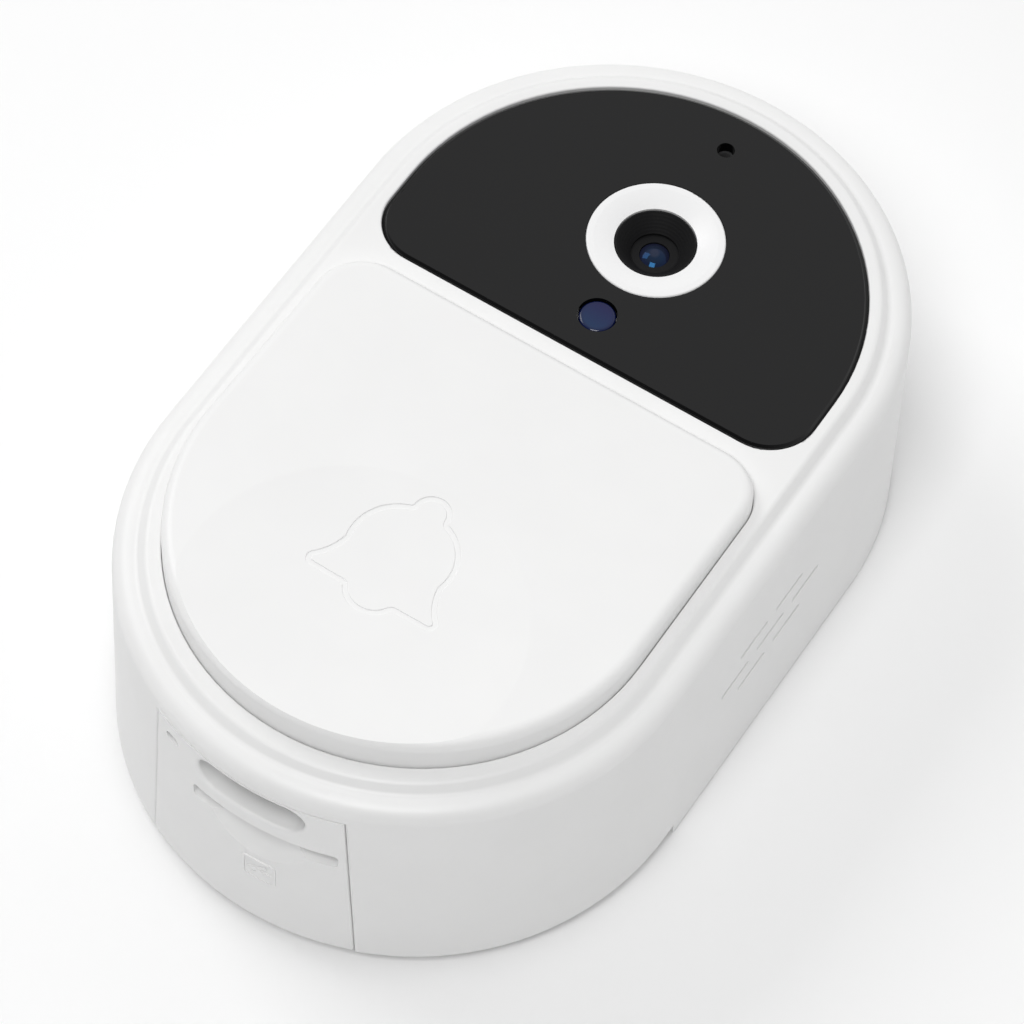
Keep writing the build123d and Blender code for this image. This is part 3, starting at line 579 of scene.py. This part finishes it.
def blocks(name, parts, bevel):
    """Rounded blocks in one mesh. Each part is (centre, size, look index), in millimetres."""
    builder = bmesh.new()
    for centre, size, look in parts:
        corners = bmesh.ops.create_cube(builder, size=1.0)["verts"]
        bmesh.ops.scale(builder, vec=Vector(size) * MM, verts=corners)
        bmesh.ops.translate(builder, vec=Vector(centre) * MM, verts=corners)
        for face in {face for corner in corners for face in corner.link_faces}:
            face.material_index = look
    edges = builder.edges[:]
    bmesh.ops.bevel(builder, geom=edges, offset=bevel * MM, segments=2, affect="EDGES", profile=0.6)
    return mesh_from(builder, name)


# ---------------------------------------------------------------- detail pieces
DOME_SKIN = 0.45
DOME_RIM = 0.35


def add_button_dome():
    """Silicone dome between the button and its switch.

    It is built at rest; a pressed button would squash it.
    """
    low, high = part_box("button_seal")
    origin = Vector(((low.x + high.x) / 2, (low.y + high.y) / 2, low.z))
    rim = (high.x - low.x) / 2 / MM
    top = (high.z - low.z) / MM
    pad = top - 0.06
    under = [(0, DOME_SKIN), (2.2, DOME_SKIN), (2.9, 0.38), (4.6, 0.06), (5.2, 0.0), (rim, 0.0)]
    flange = [(rim, DOME_RIM - 0.05), (rim - 0.1, DOME_RIM), (5.9, DOME_RIM)]
    over = [(5.2, DOME_SKIN), (3.5, 0.76), (2.8, top), (1.2, top), (0.9, pad), (0, pad)]
    mesh = lathe("button_dome", under + flange + over, origin, "z", lambda run: 0)
    dome = add_piece("button_dome", mesh, "housing", ["seal_silicone"])
    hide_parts("button_seal")
    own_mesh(dome)


CELL_NUB_LENGTH = 1.2
CELL_NUB_R = 3.0
SLEEVE_FOLD = 1.9              # width of the sleeve's edge over each end
SLEEVE_THICKNESS = 0.12
CRIMP_BACK = 3.3               # from the cell's shoulder to the middle of its crimp
CRIMP_OUTLINE = ((-0.9, 0.0), (-0.6, 0.12), (-0.2, 0.45), (0.2, 0.45), (0.6, 0.12), (0.9, 0.0))
SLEEVE_RUNS = range(1, 16)     # stretches of the profile that the sleeve covers


def add_cell():
    """18500 cell: a crimped can in a shrink sleeve that folds over both ends."""
    low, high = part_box("battery_cell")
    origin = Vector(((low.x + high.x) / 2, low.y, (low.z + high.z) / 2))
    outer = (high.x - low.x) / 2 / MM
    end = (high.y - low.y) / MM
    shoulder = end - CELL_NUB_LENGTH
    bare = shoulder - SLEEVE_THICKNESS
    fold = outer - SLEEVE_FOLD
    profile = [(0, SLEEVE_THICKNESS), (fold - 0.05, SLEEVE_THICKNESS), (fold, 0.0)]
    profile += [(outer - 0.7, 0.0), (outer - 0.2, 0.2), (outer, 0.7)]
    profile += [(outer - depth, shoulder - CRIMP_BACK + along) for along, depth in CRIMP_OUTLINE]
    profile += [(outer, shoulder - 0.6), (outer - 0.2, shoulder - 0.15), (outer - 0.7, shoulder)]
    profile += [(fold, shoulder), (fold - 0.05, bare), (6.2, bare)]
    profile += [(6.0, shoulder - 0.5), (4.4, shoulder - 0.5), (3.4, shoulder - 0.3)]
    profile += [(CELL_NUB_R, shoulder), (CELL_NUB_R, end - 0.25), (CELL_NUB_R - 0.25, end)]
    profile += [(1.2, end), (1.0, end - 0.1), (0, end - 0.1)]
    mesh = lathe("cell_18500", profile, origin, "y", lambda run: 0 if run in SLEEVE_RUNS else 1)
    cell = add_piece("cell_18500", mesh, "battery_pack", ["cell_wrap", "can_metal"])
    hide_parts("battery_cell")


TONGUE_WIDTH, TONGUE_THICKNESS = 6.68, 0.76
TONGUE_FROM_MOUTH, TONGUE_FROM_BACK = 0.75, 1.1
CONTACTS_PER_SIDE, CONTACT_PITCH = 12, 0.5
CONTACT_SIZE = (0.26, 2.4, 0.05)
CONTACT_FROM_TIP = 1.6
CONTACT_LIFT = 0.005           # of a contact's middle over the tongue's face


def add_port_tongue():
    """Black tongue in the charging port, with a row of gold contacts on each side."""
    low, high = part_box("usb_port")
    tip = low.y / MM + TONGUE_FROM_MOUTH
    back = high.y / MM - TONGUE_FROM_BACK
    middle = (low.z + high.z) / 2 / MM
    face = TONGUE_THICKNESS / 2 + CONTACT_LIFT
    parts = [((0, (tip + back) / 2, middle), (TONGUE_WIDTH, back - tip, TONGUE_THICKNESS), 0)]
    for k in range(CONTACTS_PER_SIDE):
        x = (k - (CONTACTS_PER_SIDE - 1) / 2) * CONTACT_PITCH
        for side in (1, -1):
            parts.append(((x, tip + CONTACT_FROM_TIP, middle + side * face), CONTACT_SIZE, 1))
    mesh = blocks("port_tongue", parts, bevel=0.012)
    add_piece("port_tongue", mesh, "battery_pack", ["chip_black", "gold_contact"])


# Looks of the small parts, as places in the list that add_charge_parts gives its piece.
BLACK, TAN, TIN = 0, 1, 2
RESISTOR = (1.0, 0.5, 0.35, BLACK)        # length, width, height and look of the body
CAPACITOR = (1.6, 0.8, 0.75, TAN)
CAP_SHARE = 0.22                          # share of the length in each tinned end
CAP_GROW = 0.03                           # how much the tinned ends stand out


def small_part(sort, x, y, z, along_y=False):
    """Blocks of one surface-mounted resistor or capacitor, standing on a board at z."""
    length, width, height, body = sort
    cap = CAP_SHARE * length
    cap_offset = (length - cap) / 2
    made = []
    for offset, size, look in ((0, length - 2 * cap, body), (-cap_offset, cap, TIN), (cap_offset, cap, TIN)):
        grow = CAP_GROW if look == TIN else 0.0
        centre = (x, y + offset, z + height / 2) if along_y else (x + offset, y, z + height / 2)
        spread = (width + grow, size, height + grow) if along_y else (size, width + grow, height + grow)
        made.append((centre, spread, look))
    return made


def chip_with_legs(x, y, z, side, height, legs):
    """Blocks of a flat square chip with short legs along two sides."""
    made = [((x, y, z + height / 2 + 0.05), (side, side, height), BLACK)]
    pitch = side / legs
    leg_size = (0.5, 0.45 * pitch, 0.14)
    for k in range(legs):
        offset = (k - (legs - 1) / 2) * pitch
        for way in (1, -1):
            made.append(((x + way * (side / 2 + 0.18), y + offset, z + 0.12), leg_size, TIN))
    return made


def add_charge_parts():
    """Charger chip, resistors and capacitors on the charge board, placed from its edges."""
    low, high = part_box("charge_board")
    z = high.z / MM
    right, lower, upper = high.x / MM, low.y / MM, high.y / MM
    parts = chip_with_legs(right - 2.6, upper - 1.9, z, side=2.4, height=0.8, legs=5)
    parts += small_part(CAPACITOR, right - 0.8, lower + 1.2, z, along_y=True)
    parts += small_part(CAPACITOR, right - 2.2, lower + 1.1, z, along_y=True)
    for k in range(3):
        parts += small_part(RESISTOR, right - 4.6 + 0.1 * k, lower + 0.9 + 1.3 * k, z)
    for k in range(4):
        parts += small_part(RESISTOR, -3.3 + 1.5 * k, upper - 0.28, z)
    parts += small_part(CAPACITOR, -right + 1.2, upper - 0.9, z, along_y=True)
    parts += small_part(RESISTOR, -right + 2.6, upper - 1.1, z, along_y=True)
    mesh = blocks("charge_parts", parts, bevel=0.03)
    looks = ["chip_black", "ceramic_tan", "tin_metal"]
    add_piece("charge_parts", mesh, "battery_pack", looks)


add_camera()
add_floor()
add_sky()
for lamp in LAMPS:
    add_lamp(lamp)
dress_nodes()
add_button_dome()
add_cell()
add_port_tongue()
add_charge_parts()
bpy.context.scene.view_settings.view_transform = "Standard"
